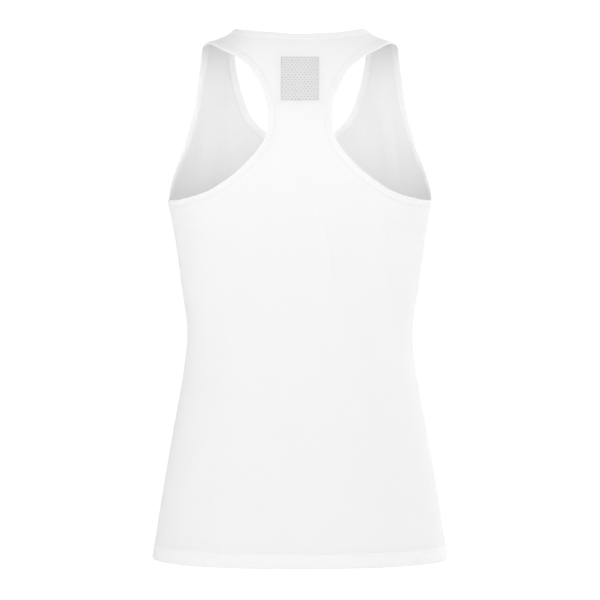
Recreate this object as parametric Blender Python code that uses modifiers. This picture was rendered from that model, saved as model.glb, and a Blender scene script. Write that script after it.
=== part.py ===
"""A women's racerback running singlet, filled out and hollow, as it hangs from the shoulders.

Metres, +Z up. The front faces -Y and the wearer's left is at +X. The origin lies midway between
the high shoulder points, where the neck opening crosses the shoulder seams. Sizes are given in
millimetres, and grid_object() turns the finished points into metres.

One smooth form carries every piece. A place on it has two coordinates: turn, from 0 at the
centre line to 1 at the side seam, and down, the millimetres of cloth from the shoulder crest.
A path is an array with one (turn, down) row for each of its points.
"""

import math

import bmesh
import bpy
import numpy as np

NAME = "running_singlet"
FRONT, BACK = -1, 1
MILLIMETRE = 0.001

# Cloth
PANEL_WALL = 1.2
HEM_WALL = 2.4
HEM_FOLD = 18.0
HEM_STEP = 1.5
BINDING_WALL = 2.4
BINDING_WIDTH = 8.0
SEAM_GAP = 0.3
MERGE_GAP = 0.01
HEM_LEVEL = -610.4
HEM_DIP = 2.0
UNDERARM_LEVEL = -197.0

# The vent that is let into the upper back
VENT_WIDTH = 43.0
VENT_TOP = -37.0
VENT_BOTTOM = -87.5
VENT_CELLS = 6

# A panel's faces: columns from its centre line to its side, and rows up from the hem. The body's
# rows end at the underarm. Each later stretch ends at a share of the armhole, counted from the
# side seam, and at a height on the centre line, where None is the neckline. The strap's rows
# then run from the neckline to the armhole.
COLUMNS = 10
BODY_ROWS = 15
CHEST_STRETCHES = {
    # rows, share of the armhole, centre height
    FRONT: ((9, 0.40, None),),
    BACK: ((17, 0.53, -108.0), (9, 0.70, None)),
}
STRAP_ROWS = {FRONT: 14, BACK: 10}
# The row that ends at the underarm starts this much lower on the centre line, leaves it level
# and curves up by a power. The power is least at the hem, and falls to 1, a straight row, over
# the first stretch above the body.
UNDERARM_RISE = 45.0
UNDERARM_CURVE = 3.0
HEM_CURVE = 1.5
BINDING_COLUMNS = 2

# The body's level sections. Each quarter of one is a superellipse.
FORM = np.array(
    [
        # level, half_width, front_depth, back_depth, front_power, back_power
        (0.0, 180.0, 80.0, 98.0, 2.35, 2.35),
        (-60.0, 170.0, 82.0, 100.0, 2.30, 2.40),
        (-120.0, 160.6, 89.0, 104.0, 2.40, 2.50),
        (-170.0, 154.4, 100.0, 105.0, 2.55, 2.50),
        (-200.0, 151.8, 107.0, 104.0, 2.65, 2.45),
        (-240.0, 145.0, 112.0, 101.5, 2.65, 2.40),
        (-290.0, 137.8, 107.5, 97.0, 2.50, 2.35),
        (-350.0, 130.6, 100.0, 93.0, 2.35, 2.30),
        (-400.0, 135.4, 99.0, 94.5, 2.30, 2.30),
        (-460.0, 146.0, 102.0, 100.5, 2.30, 2.30),
        (-530.0, 157.8, 108.0, 110.0, 2.30, 2.30),
        (-615.0, 170.9, 115.0, 119.0, 2.30, 2.30),
    ]
)
HALF_WIDTH = 1
DEPTH = {FRONT: 2, BACK: 3}
POWER = {FRONT: 4, BACK: 5}

# The shoulder crest, which falls away from the neck
CREST = np.array(
    [
        # across, height
        (0.0, 22.0),
        (40.0, 17.0),
        (60.0, 10.0),
        (75.0, 0.5),
        (80.0, -3.2),
        (85.0, -6.3),
        (93.0, -9.8),
        (100.0, -12.4),
        (112.0, -17.0),
        (130.0, -23.0),
        (160.0, -31.0),
        (190.0, -37.0),
    ]
)
# The length of cloth from the crest over which the crest's own height stops lifting it
CREST_REACH = 260.0
# The height through which the form rolls over the shoulder, on each side of the crest
ROLL = {FRONT: 122.0, BACK: 160.0}

# place_of() looks for a point of the cloth this far down from the crest, in this many halvings
LONGEST_DOWN = 900.0
HALVINGS = 50

# The edges of the openings as (across, height), each from just below the shoulder crest
NECK_CREST = (75.4, 0.0)
NECK_EDGE = {
    FRONT: (
        (77.0, -26.0),
        (74.0, -46.0),
        (68.0, -70.0),
        (57.0, -96.0),
        (37.0, -115.0),
        (0.0, -127.0),
    ),
    BACK: (
        (65.0, -2.7),
        (52.0, -5.9),
        (40.0, -7.7),
        (21.0, -9.2),
        (0.0, -10.0),
    ),
}
ARM_CREST = (111.0, -16.6)
ARM_EDGE = {
    FRONT: (
        (116.6, -33.0),
        (121.0, -57.0),
        (125.5, -84.0),
        (133.0, -114.0),
        (141.0, -142.5),
        (148.5, -165.0),
    ),
    BACK: (
        (94.5, -22.5),
        (74.0, -35.0),
        (54.0, -53.5),
        (41.3, -78.0),
        (35.8, -105.0),
        (39.4, -130.0),
        (53.5, -150.5),
        (76.0, -172.0),
        (104.0, -189.5),
        (134.0, -197.6),
    ),
}
# Which way the cloth lies from an edge that runs down from the crest
NECK_CLOTH, ARM_CLOTH = -1, 1
EDGE_POINTS = 90
INSET_STEPS = 4
# The length at each end of an edge over which the ribs of its binding turn to the line it ends on
RIB_TURN = 25.0

WHITE_CLOTH = (0.86, 0.865, 0.875, 1.0)
WHITE_BINDING = (0.89, 0.895, 0.90, 1.0)
GREY_MESH = (0.70, 0.705, 0.715, 1.0)
CLOTH_ROUGHNESS = 0.85


# ------------------------------------------------------------ the form


def smooth(table, column, at):
    """One column of a table, read at a place in its first column, on a smooth curve."""
    rows = table[np.argsort(table[:, 0])]
    places, values = rows[:, 0], rows[:, column]
    slopes = np.gradient(values, places)
    at = np.clip(at, places[0], places[-1])
    i = np.clip(np.searchsorted(places, at) - 1, 0, len(places) - 2)
    step = places[i + 1] - places[i]
    t = (at - places[i]) / step
    from_start = (1 + 2 * t) * (1 - t) ** 2 * values[i] + t * (1 - t) ** 2 * step * slopes[i]
    from_end = t**2 * (3 - 2 * t) * values[i + 1] + t**2 * (t - 1) * step * slopes[i + 1]
    return from_start + from_end


def level_of(side, down):
    """The level of the section that the cloth has reached, and its angle of roll over the crest."""
    rolled = np.minimum(down / ROLL[side], math.pi / 2)
    below = np.maximum(down - ROLL[side] * math.pi / 2, 0)
    return -ROLL[side] * (1 - np.cos(rolled)) - below, rolled


def crest_lift(across, down):
    """How far the crest's own height still lifts or lowers the cloth."""
    faded = np.cos(np.minimum(down / CREST_REACH, 1) * math.pi / 2) ** 2
    return smooth(CREST, 1, np.abs(across)) * faded


def form_points(side, turn, down):
    """The form's points at these places."""
    turn, down = np.asarray(turn, float), np.asarray(down, float)
    level, rolled = level_of(side, down)
    power = smooth(FORM, POWER[side], level)
    across, outward = np.sin(turn * math.pi / 2), np.cos(turn * math.pi / 2)
    reach = (np.abs(across) ** power + np.abs(outward) ** power) ** (-1 / power)
    x = smooth(FORM, HALF_WIDTH, level) * across * reach
    y = smooth(FORM, DEPTH[side], level) * outward * reach * np.sin(rolled)
    z = level + crest_lift(x, down)
    return np.stack([x, side * (y + SEAM_GAP / 2), z], axis=-1)


def place_of(side, across, height):
    """The (turn, down) of the form's points at these distances across and heights."""
    across, height = np.asarray(across, float), np.asarray(height, float)
    low, high = np.zeros_like(height), np.full_like(height, LONGEST_DOWN)
    for _ in range(HALVINGS):
        middle = (low + high) / 2
        above = level_of(side, middle)[0] + crest_lift(across, middle) > height
        low, high = np.where(above, middle, low), np.where(above, high, middle)
    down = (low + high) / 2
    level = level_of(side, down)[0]
    power = smooth(FORM, POWER[side], level)
    share = np.clip(across / smooth(FORM, HALF_WIDTH, level), 0, 1)
    turn = np.arctan2(share, (1 - share**power) ** (1 / power)) / (math.pi / 2)
    return np.stack([turn, down], axis=-1)


# ------------------------------------------------------------ paths on the form


def lengths_along(points):
    """The length of a line of points up to each of them."""
    steps = np.linalg.norm(np.diff(points, axis=0), axis=1)
    return np.concatenate([[0.0], np.cumsum(steps)])


def read_path(path, places):
    """The path's rows at these places, counted in its points."""
    return np.column_stack([np.interp(places, np.arange(len(path)), column) for column in path.T])


def even_places(side, path, count, start=0.0, stop=1.0):
    """Places at equal lengths along part of a path, as counts of its points."""
    lengths = lengths_along(form_points(side, *path.T))
    wanted = np.linspace(start, stop, count + 1) * lengths[-1]
    return np.interp(wanted, lengths, np.arange(len(path)))


def opening_edges(crest, edges, end_turn, end_level=None):
    """The edge of an opening on each side, as a path from the crest to the line turn = end_turn.

    It crosses the crest smoothly, and ends square to that line, as its mirror image goes on.
    """
    halves = {}
    for side in (FRONT, BACK):
        half = place_of(side, *np.array(edges[side]).T)
        if end_level is not None:
            half = np.vstack([half, [end_turn, place_of(side, 0.0, end_level)[1]]])
        beyond = [2 * end_turn - half[-2, 0], half[-2, 1]]
        halves[side] = np.vstack([half, beyond]) * [1, side]
    on_crest = [[place_of(BACK, *crest)[0], 0.0]]
    knots = np.vstack([halves[FRONT][::-1], on_crest, halves[BACK]])
    crest_knot = len(halves[FRONT])
    points = [form_points(np.sign(down) or BACK, turn, abs(down)) for turn, down in knots]
    times = lengths_along(np.array(points))
    table = np.column_stack([times, knots])
    found = {}
    for side, last in ((FRONT, 1), (BACK, len(knots) - 2)):
        at = np.linspace(times[crest_knot], times[last], EDGE_POINTS)
        found[side] = np.column_stack([smooth(table, 1, at), np.abs(smooth(table, 2, at))])
        found[side][0, 1] = 0.0
        found[side][-1, 0] = end_turn
    return found


def inset(side, edge, width, cloth):
    """The edge moved into the cloth by a width that is square to it, point by point.

    The first point moves along the crest and the last along the line of one turn that it is on.
    """
    moved = edge.copy()
    nudge = 1e-3
    for _ in range(INSET_STEPS):
        turn, down = moved[:, 0], np.maximum(moved[:, 1], nudge)
        points = form_points(side, turn, down)
        by_turn = (form_points(side, turn + nudge, down) - points) / nudge
        by_down = (form_points(side, turn, down + nudge) - points) / nudge
        along = np.gradient(points, axis=0)
        square = cloth * np.cross(np.cross(by_turn, by_down), along)
        square /= np.linalg.norm(square, axis=1, keepdims=True)
        lengths = lengths_along(points)
        rib = square
        ends = ((by_turn, lengths), (by_down, lengths[-1] - lengths))
        for line, distance in ends:
            line = line / np.linalg.norm(line, axis=1, keepdims=True)
            line = line * np.sign(np.sum(line * square, axis=1, keepdims=True))
            share = np.clip(1 - distance / RIB_TURN, 0, 1)[:, None]
            rib = rib + (line - rib) * share
        rib = rib / np.sum(rib * square, axis=1, keepdims=True) * width / INSET_STEPS
        tangents = np.stack([by_turn, by_down], axis=-1)
        moved = moved + np.einsum("kij,kj->ki", np.linalg.pinv(tangents), rib)
        moved[0, 1] = 0.0
        moved[-1, 0] = edge[-1, 0]
    return moved


NECK = opening_edges(NECK_CREST, NECK_EDGE, 0.0)
ARM = opening_edges(ARM_CREST, ARM_EDGE, 1.0, UNDERARM_LEVEL)
CLOTH_EDGE = BINDING_WIDTH + SEAM_GAP
NECK_CUT = {side: inset(side, NECK[side], CLOTH_EDGE, NECK_CLOTH) for side in NECK}
ARM_CUT = {side: inset(side, ARM[side], CLOTH_EDGE, ARM_CLOTH) for side in ARM}


def arm_places(side):
    """Where the rows above the body end, along the armhole from the side seam."""
    path, places, start = ARM_CUT[side][::-1], [0.0], 0.0
    for rows, share, _ in CHEST_STRETCHES[side]:
        places.extend(even_places(side, path, rows, start, share)[1:])
        start = share
    places.extend(even_places(side, path, STRAP_ROWS[side], start)[1:])
    return np.array(places)


def neck_places(side):
    """Where the rows of the strap stretch end, along the neckline from its centre."""
    return even_places(side, NECK_CUT[side][::-1], STRAP_ROWS[side])


# ------------------------------------------------------------ meshes


def grid_object(name, points, collection, material, close=False):
    """An object with one face for each cell of a grid of points, which have shape (rows, columns, 3)."""
    rows, columns = points.shape[:2]
    mesh = bpy.data.meshes.new(name)
    bm = bmesh.new()
    bmesh.ops.create_grid(bm, x_segments=columns - 1, y_segments=rows - 1, size=0.5)
    for vertex in bm.verts:
        column = round((vertex.co.x + 0.5) * (columns - 1))
        row = round((vertex.co.y + 0.5) * (rows - 1))
        vertex.co = points[row, column] * MILLIMETRE
    if close:
        bmesh.ops.remove_doubles(bm, verts=bm.verts, dist=MERGE_GAP * MILLIMETRE)
    bm.to_mesh(mesh)
    bm.free()
    mesh.shade_smooth()
    mesh.materials.append(material)
    thing = bpy.data.objects.new(name, mesh)
    collection.objects.link(thing)
    return thing


def mirror(thing):
    """Adds the other half across the centre line."""
    modifier = thing.modifiers.new("Mirror", "MIRROR")
    modifier.merge_threshold = MERGE_GAP * MILLIMETRE


def thicken(thing, wall):
    """Gives the sheet its wall, half of it on each side."""
    modifier = thing.modifiers.new("Wall", "SOLIDIFY")
    modifier.thickness = wall * MILLIMETRE
    modifier.offset = 0
    modifier.use_even_offset = True
    return modifier


def cloth_material(name, colour):
    material = bpy.data.materials.new(name)
    material.use_nodes = True
    shader = material.node_tree.nodes["Principled BSDF"]
    shader.inputs["Base Color"].default_value = colour
    shader.inputs["Roughness"].default_value = CLOTH_ROUGHNESS
    shader.inputs["Metallic"].default_value = 0.0
    return material


def new_collection(name):
    collection = bpy.data.collections.new(name)
    bpy.context.scene.collection.children.link(collection)
    return collection


# ------------------------------------------------------------ pieces


def centre_heights(side, outer):
    """Heights on the centre line for the chest's rows, given the outer ends of those rows.

    They follow the outer ends' heights, by a margin that changes evenly over each stretch.
    """
    outer_heights = form_points(side, *outer.T)[:, 2]
    neck_height = form_points(side, *NECK_CUT[side][-1])[2]
    heights, margin = [], UNDERARM_RISE
    for rows, _, end_height in CHEST_STRETCHES[side]:
        ends = outer_heights[len(heights) + 1 : len(heights) + 1 + rows]
        end_margin = ends[-1] - (neck_height if end_height is None else end_height)
        heights.extend(ends - np.linspace(margin, end_margin, rows + 1)[1:])
        margin = end_margin
    return np.array(heights)


def panel_points(side):
    """The half panel's points, row by row up from the hem."""
    arm = read_path(ARM_CUT[side][::-1], arm_places(side))
    neck = read_path(NECK_CUT[side][::-1], neck_places(side))
    hem, underarm = place_of(side, 0.0, HEM_LEVEL)[1], arm[0, 1]
    underarm_row = underarm + UNDERARM_RISE
    step = HEM_FOLD + HEM_STEP
    above_fold = np.linspace(step, hem - underarm, BODY_ROWS - 1)
    shares = np.concatenate([[0.0, HEM_FOLD], above_fold]) / (hem - underarm)
    seam = hem + (underarm - hem) * shares
    chest = place_of(side, 0.0, centre_heights(side, arm))[:, 1]
    centre_hem = hem + HEM_DIP
    centre = np.concatenate([centre_hem + (underarm_row - centre_hem) * shares, chest])
    inner = np.vstack([np.column_stack([np.zeros_like(centre), centre]), neck[1:]])
    outer = np.vstack([np.column_stack([np.ones_like(seam), seam]), arm[1:]])
    turning_rows = [0, BODY_ROWS, BODY_ROWS + CHEST_STRETCHES[side][0][0]]
    power = np.interp(np.arange(len(outer)), turning_rows, [HEM_CURVE, UNDERARM_CURVE, 1])[:, None]
    across = np.linspace(0, 1, COLUMNS + 1)[None, :]
    turn = inner[:, :1] + (outer[:, :1] - inner[:, :1]) * across
    down = inner[:, 1:] + (outer[:, 1:] - inner[:, 1:]) * across**power
    return form_points(side, turn, down)


def make_panel(name, side, collection, material):
    """A panel in one piece with its turned-up hem, where the wall is double."""
    thing = grid_object(name, panel_points(side), collection, material)
    hem = thing.vertex_groups.new(name="Hem")
    fold_top = (HEM_LEVEL + HEM_FOLD + HEM_STEP / 2) * MILLIMETRE
    hem.add([v.index for v in thing.data.vertices if v.co.z < fold_top], 1.0, "REPLACE")
    mirror(thing)
    wall = thicken(thing, HEM_WALL)
    wall.vertex_group = hem.name
    wall.thickness_vertex_group = PANEL_WALL / HEM_WALL
    return thing


def band_points(side, edge, cut, places):
    """Points across a binding, at these places along it from the far end to the crest."""
    outer, inner = read_path(edge[::-1], places), read_path(cut[::-1], places)
    share = np.linspace(0, BINDING_WIDTH / CLOTH_EDGE, BINDING_COLUMNS + 1)
    path = outer[:, None, :] + (inner - outer)[:, None, :] * share[None, :, None]
    return form_points(side, path[..., 0], path[..., 1])


def loop_points(edge, cut, places_of):
    """A binding's points from its far end on the back, over the crest, to its far end in front."""
    back, front = (band_points(s, edge[s], cut[s], places_of(s)) for s in (BACK, FRONT))
    for half in (back, front):
        half[-1, :, 1] = 0.0
    return np.concatenate([back, front[-2::-1]])


def make_neck_binding(collection, material):
    points = loop_points(NECK, NECK_CUT, neck_places)
    points[[0, -1], :, 0] = 0.0
    thing = grid_object("neck_binding", points, collection, material)
    mirror(thing)
    thicken(thing, BINDING_WALL)


def make_arm_binding(name, hand, collection, material):
    """hand is 1 for the wearer's left and -1 for the right."""
    points = loop_points(ARM, ARM_CUT, arm_places)
    under_arm = (points[0] + points[-1]) / 2
    points[0], points[-1] = under_arm, under_arm
    points[:, :, 0] *= hand
    thing = grid_object(name, points, collection, material, close=True)
    thicken(thing, BINDING_WALL)


def make_vent(collection, material):
    """The mesh piece, as a plain sheet in the back's surface."""
    across = np.linspace(-VENT_WIDTH / 2, VENT_WIDTH / 2, VENT_CELLS + 1)
    height = np.linspace(VENT_BOTTOM, VENT_TOP, VENT_CELLS + 1)
    across, height = np.meshgrid(across, height)
    place = place_of(BACK, np.abs(across), height)
    points = form_points(BACK, place[..., 0] * np.sign(across), place[..., 1])
    thicken(grid_object("back_vent", points, collection, material), PANEL_WALL)


def cut_vent_window(panel, collection):
    """Cuts the window that the vent fills, with the seam gap all round it."""
    bpy.ops.mesh.primitive_cube_add(size=1)
    cutter = bpy.context.object
    cutter.name = "vent_window_cutter"
    for owner in list(cutter.users_collection):
        owner.objects.unlink(cutter)
    collection.objects.link(cutter)
    depth = float(FORM[0, DEPTH[BACK]])
    size = (VENT_WIDTH + 2 * SEAM_GAP, depth, VENT_TOP - VENT_BOTTOM + 2 * SEAM_GAP)
    cutter.location = (0, depth * MILLIMETRE, (VENT_TOP + VENT_BOTTOM) / 2 * MILLIMETRE)
    cutter.scale = [side * MILLIMETRE for side in size]
    cutter.hide_render = True
    cutter.display_type = "WIRE"
    modifier = panel.modifiers.new("Vent window", "BOOLEAN")
    modifier.operation = "DIFFERENCE"
    modifier.solver = "EXACT"
    modifier.object = cutter


def main():
    for thing in list(bpy.data.objects):
        bpy.data.objects.remove(thing, do_unlink=True)
    parts, cutters = new_collection(NAME), new_collection("cutters")
    make_panel("front_panel", FRONT, parts, cloth_material("front_cloth", WHITE_CLOTH))
    back = make_panel("back_panel", BACK, parts, cloth_material("back_cloth", WHITE_CLOTH))
    cut_vent_window(back, cutters)
    make_vent(parts, cloth_material("vent_mesh", GREY_MESH))
    make_neck_binding(parts, cloth_material("neck_binding_cloth", WHITE_BINDING))
    for name, hand in (("armhole_binding_left", 1), ("armhole_binding_right", -1)):
        make_arm_binding(name, hand, parts, cloth_material(name + "_cloth", WHITE_BINDING))


main()
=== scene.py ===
"""The looks of a women's racerback running singlet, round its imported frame.

Metres, +Z up. The front faces -Y, the wearer's left is at +X, and the origin lies midway between
the high shoulder points. Sizes are given in millimetres, and new_mesh() turns the finished points
into metres.

One smooth form carries every piece, the same one as in the solids. A place on it has a side
(FRONT or BACK) and two coordinates: turn, from 0 at the centre line to 1 or -1 at the side seams,
and down, the millimetres of cloth from the shoulder crest. lift is the distance out of the form.
A path is an array with one (turn, down) row for each of its points.
"""

import math
from functools import partial

import bmesh
import bpy
import numpy as np
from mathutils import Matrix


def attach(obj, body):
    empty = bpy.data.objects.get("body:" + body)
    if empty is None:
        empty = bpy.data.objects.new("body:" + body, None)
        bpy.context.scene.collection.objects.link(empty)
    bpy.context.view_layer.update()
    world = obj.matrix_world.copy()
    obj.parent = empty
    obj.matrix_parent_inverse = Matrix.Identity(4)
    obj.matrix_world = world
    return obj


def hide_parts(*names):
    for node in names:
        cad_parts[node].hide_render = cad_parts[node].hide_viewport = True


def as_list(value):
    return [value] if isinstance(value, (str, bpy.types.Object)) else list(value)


FRONT, BACK = -1, 1
LEFT, RIGHT = 1, -1
MILLIMETRE = 0.001
BODY = "root"
# The UV map that holds each piece's places on the flat cloth, in metres
FLAT = "cloth"

# ------------ sizes of the form, as in the solids

HEM_LEVEL = -610.4
HEM_DIP = 2.0
HEM_FOLD = 18.0
UNDERARM_LEVEL = -197.0
BINDING_WIDTH = 8.0
VENT_WIDTH = 43.0
VENT_TOP = -37.0
VENT_BOTTOM = -87.5

FORM = np.array([
    # level, half_width, front_depth, back_depth, front_power, back_power
    (0, 180, 80, 98, 2.35, 2.35),
    (-60, 170, 82, 100, 2.3, 2.4),
    (-120, 160.6, 89, 104, 2.4, 2.5),
    (-170, 154.4, 100, 105, 2.55, 2.5),
    (-200, 151.8, 107, 104, 2.65, 2.45),
    (-240, 145, 112, 101.5, 2.65, 2.4),
    (-290, 137.8, 107.5, 97, 2.5, 2.35),
    (-350, 130.6, 100, 93, 2.35, 2.3),
    (-400, 135.4, 99, 94.5, 2.3, 2.3),
    (-460, 146, 102, 100.5, 2.3, 2.3),
    (-530, 157.8, 108, 110, 2.3, 2.3),
    (-615, 170.9, 115, 119, 2.3, 2.3),
])
HALF_WIDTH = 1
DEPTH = {FRONT: 2, BACK: 3}
POWER = {FRONT: 4, BACK: 5}

CREST = np.array([
    # across, height
    (0, 22), (40, 17), (60, 10), (75, 0.5), (80, -3.2), (85, -6.3),
    (93, -9.8), (100, -12.4), (112, -17), (130, -23), (160, -31), (190, -37),
])
# How far down the crest's own height is felt, and the radius of each side's roll over the crest
CREST_REACH = 260.0
ROLL = {FRONT: 122.0, BACK: 160.0}
# A search for a place on the form starts with this range, and halves it so many times
LONGEST_DOWN = 900.0
HALVINGS = 50
# The most points whose distances are worked out at once
CHUNK = 20000

# The edges of the openings as (across, height), each from just below the shoulder crest
NECK_CREST = (75.4, 0.0)
NECK_EDGE = {
    FRONT: ((77, -26), (74, -46), (68, -70), (57, -96), (37, -115), (0, -127)),
    BACK: ((65, -2.7), (52, -5.9), (40, -7.7), (21, -9.2), (0, -10)),
}
ARM_CREST = (111.0, -16.6)
ARM_EDGE = {
    FRONT: ((116.6, -33), (121, -57), (125.5, -84), (133, -114), (141, -142.5), (148.5, -165)),
    BACK: (
        (94.5, -22.5), (74, -35), (54, -53.5), (41.3, -78), (35.8, -105),
        (39.4, -130), (53.5, -150.5), (76, -172), (104, -189.5), (134, -197.6),
    ),
}
NECK_CLOTH, ARM_CLOTH = -1, 1
EDGE_POINTS = 240
INSET_STEPS = 4
# At its ends an edge is moved in along the form's own lines, and it turns to them over this length
RIB_TURN = 25.0

# The panels' rows and columns, as in the solids but finer
COLUMNS = 72
BODY_ROWS = 104
CHEST_STRETCHES = {
    # rows, share of the armhole, centre height
    FRONT: ((40, 0.40, None),),
    BACK: ((52, 0.53, -108.0), (26, 0.70, None)),
}
STRAP_ROWS = {FRONT: 40, BACK: 30}
UNDERARM_RISE = 45.0
UNDERARM_CURVE = 3.0
STRAP_CURVE = {FRONT: 2.5, BACK: 1.0}
HEM_CURVE = 1.5

# ------------ sizes of the cloth and its sewing

SHEET = 0.9
SEAM_GAP = 0.02
# How far the panels' cut edges reach in under the bindings
UNDERLAP = 1.6
# The hem is folded up inside, so its two layers lie this far out of and into the form
FOLD_RADIUS = 0.6
FOLD_EASE = 9.0
FOLD_ROWS = 8
FOLD_STEPS = 6
HEM_ROWS = 26
# The height of the band where the doubled cloth looks denser
HEM_BAND = 17.0
# Heights above the hem's edge of its two rows of stitches, and how far they pull the cloth in
HEM_STITCHES = (12.6, 16.6)
STITCH_DIP = 0.22
STITCH_DIP_WIDTH = 1.1
# Where two panels meet they roll in: the distance from the seam's plane, and the depth there
SEAM_ROLL = np.array([
    # away, depth
    (0.47, 1.9), (0.53, 1.0), (0.85, 0.42), (1.6, 0.16), (2.6, 0.05), (4.0, 0.0), (900.0, 0.0),
])
# The length of cloth round the body for each unit of turn, at the side seams
SIDE_ARC = 180.0
# The strip of both panels' edges inside a seam: the distance from the seam, and the lift there
ALLOWANCE = np.array([
    # away, lift
    (0.75, -2.9), (1.2, -2.45), (2.0, -1.8), (3.0, -1.42), (4.5, -1.3), (6.6, -1.28),
])
ALLOWANCE_WALL = 1.1
ALLOWANCE_STEP = 3.0
# A side seam's strip stops this far short of the turned-up hem and of the armhole's cut edge
ALLOWANCE_END = 1.0
# The strip's free edge ripples
RIPPLE = 0.12
RIPPLE_WAVE = 17.0
OVERLOCK_LINES = (2.6, 6.75)
OVERLOCK_STEP = 2.3
SEAM_POINTS = 160
VALLEY_LIFT = -0.42
VALLEY_THREAD = 0.24

# The vent's mesh: a brick pattern of eyelets, and the margin that is sewn in under the panel
VENT_COLUMNS = 10.5
VENT_ROWS = 18
VENT_MARGIN = np.array([0.0, 0.9, 2.6, 5.0])
VENT_WALL = 0.6
VENT_LEVEL = -0.2
VENT_EASE = 1.3
EYELET = 0.78
EYELET_RINGS = (
    # share of the way to the hole, share of its radius, lift
    (0.0, 1.0, 0.0),
    (0.5, 1.0, 0.07),
    (1.0, 1.0, -0.1),
    (1.0, 0.86, -0.45),
)
# The border of a brick, counterclockwise, with a point for each of the hole's twelve
BRICK = (
    (0, 0), (0.25, 0), (0.5, 0), (0.75, 0), (1, 0), (1, 0.5),
    (1, 1), (0.75, 1), (0.5, 1), (0.25, 1), (0, 1), (0, 0.5),
)
BRICK_FIRST_ANGLE = -150
WINDOW_REACH = 12.0
WINDOW_ZIGZAG = (0.5, 2.1)
WINDOW_STEP = 1.5
WINDOW_WELD = 0.03

# Stitches: the thread's radius, and its ends, which dip into the cloth
THREAD = 0.17
THREAD_SIDES = 6
STITCH = 2.6
STITCH_PROFILE = np.array([
    # share, height, size
    (0.06, -1.0, 0.5),
    (0.22, 0.3, 1.0),
    (0.78, 0.3, 1.0),
    (0.94, -1.0, 0.5),
])

# The knits: wale, course and the tucked dots' pitches, in metres
CLOTH_KNIT = (0.00062, 0.00048, (0.0023, 0.0019))
INSIDE_KNIT = (0.0011, 0.00062, (0.0046, 0.0012))
BINDING_KNIT = (0.0005, 0.0004, (0.0018, 0.0012))
MESH_KNIT = (0.0005, 0.00045, (0.002, 0.0014))
KNIT_STREAKS = (40.0, 700.0, 1.0)
# Shares of a knit's relief, its streaks' tone and the painted shade in its tucked dots, round its own
# colour
LOOP_HEIGHT, RIB_HEIGHT, TUCK_DEPTH, STREAK_HEIGHT = 0.3, 0.6, 0.9, 0.5
LOOP_SLANT = 0.5
STREAK_DETAIL = 3.0
STREAK_TONE, TUCK_PAINTED_SHADE = 0.45, 0.6
LIGHTER, DARKER = 0.012, 0.06
SPECULAR = 0.2
KNIT_ROUGHNESS, KNIT_BUMP = 0.88, 0.6
SHEEN, SHEEN_ROUGHNESS = 0.08, 0.6
KNITTED = (
    # material, colour, knit, relief in millimetres, share of the light that goes through
    ("white_cloth", 0.97, CLOTH_KNIT, 0.12, 0.22),
    ("white_doubled", 0.91, CLOTH_KNIT, 0.12, 0.06),
    ("white_inside", 0.93, INSIDE_KNIT, 0.12, 0.15),
    ("white_binding", 0.963, BINDING_KNIT, 0.08, 0.18),
    # The binding's inner face is a lighter copy of its outer face's material, as painted light
    ("white_binding_inside_painted_light", 0.988, BINDING_KNIT, 0.08, 0.08),
    # The mesh's darker grey is painted shade of the hollow seen through its open knit
    ("white_mesh", 0.775, MESH_KNIT, 0.08, 0.12),
    # The eyelets' floors: a dark grey sheet, painted shade of the hollow behind the holes
    ("white_mesh_eyelet_painted_shade", 0.45, MESH_KNIT, 0.08, 0.12),
    ("white_mesh_inside", 0.93, MESH_KNIT, 0.08, 0.12),
)
THREAD_COLOUR, THREAD_ROUGHNESS, THREAD_BUMP = 0.95, 0.55, 0.5
# The thread's two plies, the length of their twist, and the relief between them
PLIES, PLY_PITCH, PLY_DEPTH = 2, 0.9, 0.04
WINDOW_THREAD = 0.1

# The sheets as cut, in metres and square metres, with the hem's fold but without the strips
# inside the seams
CUTS = {
    # piece: width, length, area, how it is held
    "front_cloth": (0.462, 0.667, 0.217, "hung"),
    "back_cloth": (0.467, 0.672, 0.196, "hung"),
    "vent_mesh": (0.053, 0.066, 0.0035, "stretched"),
}

# ------------ camera and stage

CAMERA_DISTANCE = 3.0
CAMERA_HEIGHT = -0.3126
FRAME_WIDTH = 0.696
SENSOR = 36.0
FLOOR_HEIGHT = -1.35
FLOOR_RADIUS = 5.0
# The studio's light: an even part that is less from above, and soft boxes, each of which fades
# out round its own direction
LIGHT_ALL_ROUND = 0.60
LIGHT_ABOVE = -0.5
SOFT_BOXES = (
    # x, y, z, power, strength
    (0.0, 1.0, 0.0, 30.0, 3.1),
    (0.88, 0.47, 0.0, 3.0, 1.72),
    (-0.88, 0.47, 0.0, 3.0, 1.58),
    (0.0, -1.0, 0.0, 2.0, 0.45),
    (-0.5, -0.75, 0.43, 8.0, 2.5),
)
# What the camera sees beyond the floor: a white screen behind the front, and a pale grey room
SCREEN_FROM, SCREEN_FULL = 0.90, 0.96
ROOM_GREY, SCREEN_WHITE = 0.676, 1.05
FLOOR_GREY = 0.80


# ------------ the form


def smooth(table, column, at):
    """One column of a table, read at a place in its first column, on a smooth curve."""
    rows = table[np.argsort(table[:, 0])]
    places, values = rows[:, 0], rows[:, column]
    slopes = np.gradient(values, places)
    at = np.clip(at, places[0], places[-1])
    i = np.clip(np.searchsorted(places, at) - 1, 0, len(places) - 2)
    step = places[i + 1] - places[i]
    t = (at - places[i]) / step
    from_start = (1 + 2 * t) * (1 - t) ** 2 * values[i] + t * (1 - t) ** 2 * step * slopes[i]
    from_end = t**2 * (3 - 2 * t) * values[i + 1] + t**2 * (t - 1) * step * slopes[i + 1]
    return from_start + from_end


def ease(t):
    """A smooth step from 0 to 1."""
    t = np.clip(t, 0, 1)
    return t * t * (3 - 2 * t)


def level_of(side, down):
    """The level of the section that the cloth has reached, and its angle of roll over the crest."""
    rolled = np.minimum(down / ROLL[side], math.pi / 2)
    below = np.maximum(down - ROLL[side] * math.pi / 2, 0)
    return -ROLL[side] * (1 - np.cos(rolled)) - below, rolled


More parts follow.
